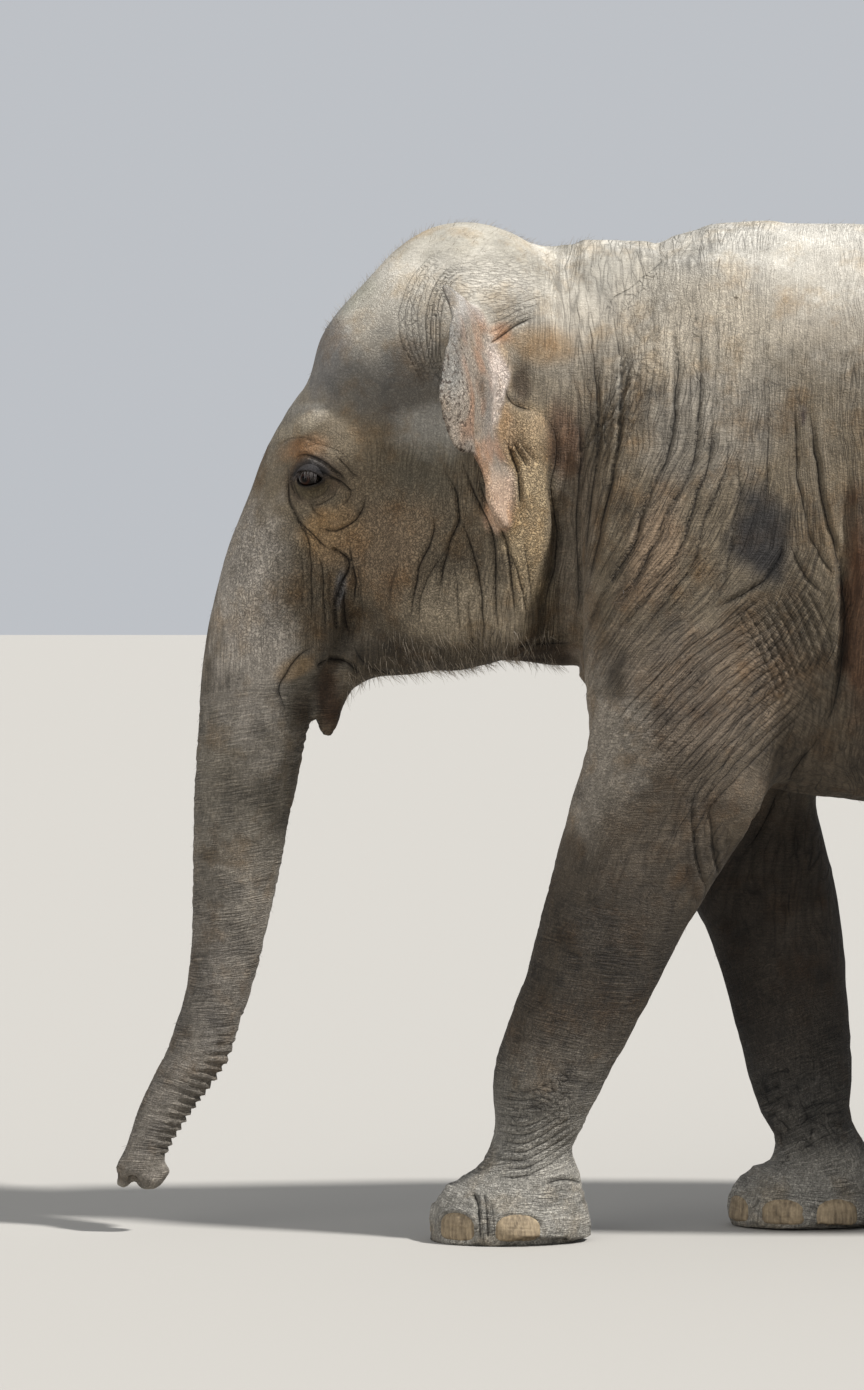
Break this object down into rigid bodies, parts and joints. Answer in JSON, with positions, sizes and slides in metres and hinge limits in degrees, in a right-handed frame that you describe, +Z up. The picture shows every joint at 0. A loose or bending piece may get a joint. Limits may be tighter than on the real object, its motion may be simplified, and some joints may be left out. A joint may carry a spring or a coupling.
{
  "type": "asian elephant",
  "caption": "Life-size Asian elephant cow in a slow walking stance, head low, trunk hanging almost to the floor, ears folded forward at the rim, all feet on the floor.",
  "frame": {"origin": "on the floor, under the middle of the animal's bounding box", "axes": "+Z up, -X towards the head, so +X runs from head to tail; -Y is the elephant's left side"},
  "size_m": [3.75, 1.2178, 2.3939],
  "materials": {
    "skin": "dry, wrinkled grey-brown hide",
    "ear_skin": "dry hide, pink with dark freckles",
    "nail_horn": "worn tan horn",
    "eye": "wet dark amber",
    "tail_hair": "coarse black bristle"
  },
  "bodies": {
    "root": {"trunk_upper": "skin", "trunk_middle": "skin", "trunk_tip": "skin", "head": "skin", "jaw": "skin", "eye_left": "eye", "ear_left": "ear_skin", "eye_right": "eye", "ear_right": "ear_skin", "neck": "skin", "chest": "skin", "barrel": "skin", "rump": "skin", "tail": "skin", "tail_tuft": "tail_hair", "foreleg_left_upper": "skin", "foreleg_left_lower": "skin", "foreleg_left_foot": "skin", "foreleg_left_nail_1": "nail_horn", "foreleg_left_nail_2": "nail_horn", "foreleg_left_nail_3": "nail_horn", "foreleg_left_nail_4": "nail_horn", "foreleg_left_nail_5": "nail_horn", "hindleg_left_upper": "skin", "hindleg_left_lower": "skin", "hindleg_left_foot": "skin", "hindleg_left_nail_1": "nail_horn", "hindleg_left_nail_2": "nail_horn", "hindleg_left_nail_3": "nail_horn", "hindleg_left_nail_4": "nail_horn", "foreleg_right_upper": "skin", "foreleg_right_lower": "skin", "foreleg_right_foot": "skin", "foreleg_right_nail_1": "nail_horn", "foreleg_right_nail_2": "nail_horn", "foreleg_right_nail_3": "nail_horn", "foreleg_right_nail_4": "nail_horn", "foreleg_right_nail_5": "nail_horn", "hindleg_right_upper": "skin", "hindleg_right_lower": "skin", "hindleg_right_foot": "skin", "hindleg_right_nail_1": "nail_horn", "hindleg_right_nail_2": "nail_horn", "hindleg_right_nail_3": "nail_horn", "hindleg_right_nail_4": "nail_horn"}
  },
  "joints": []
}
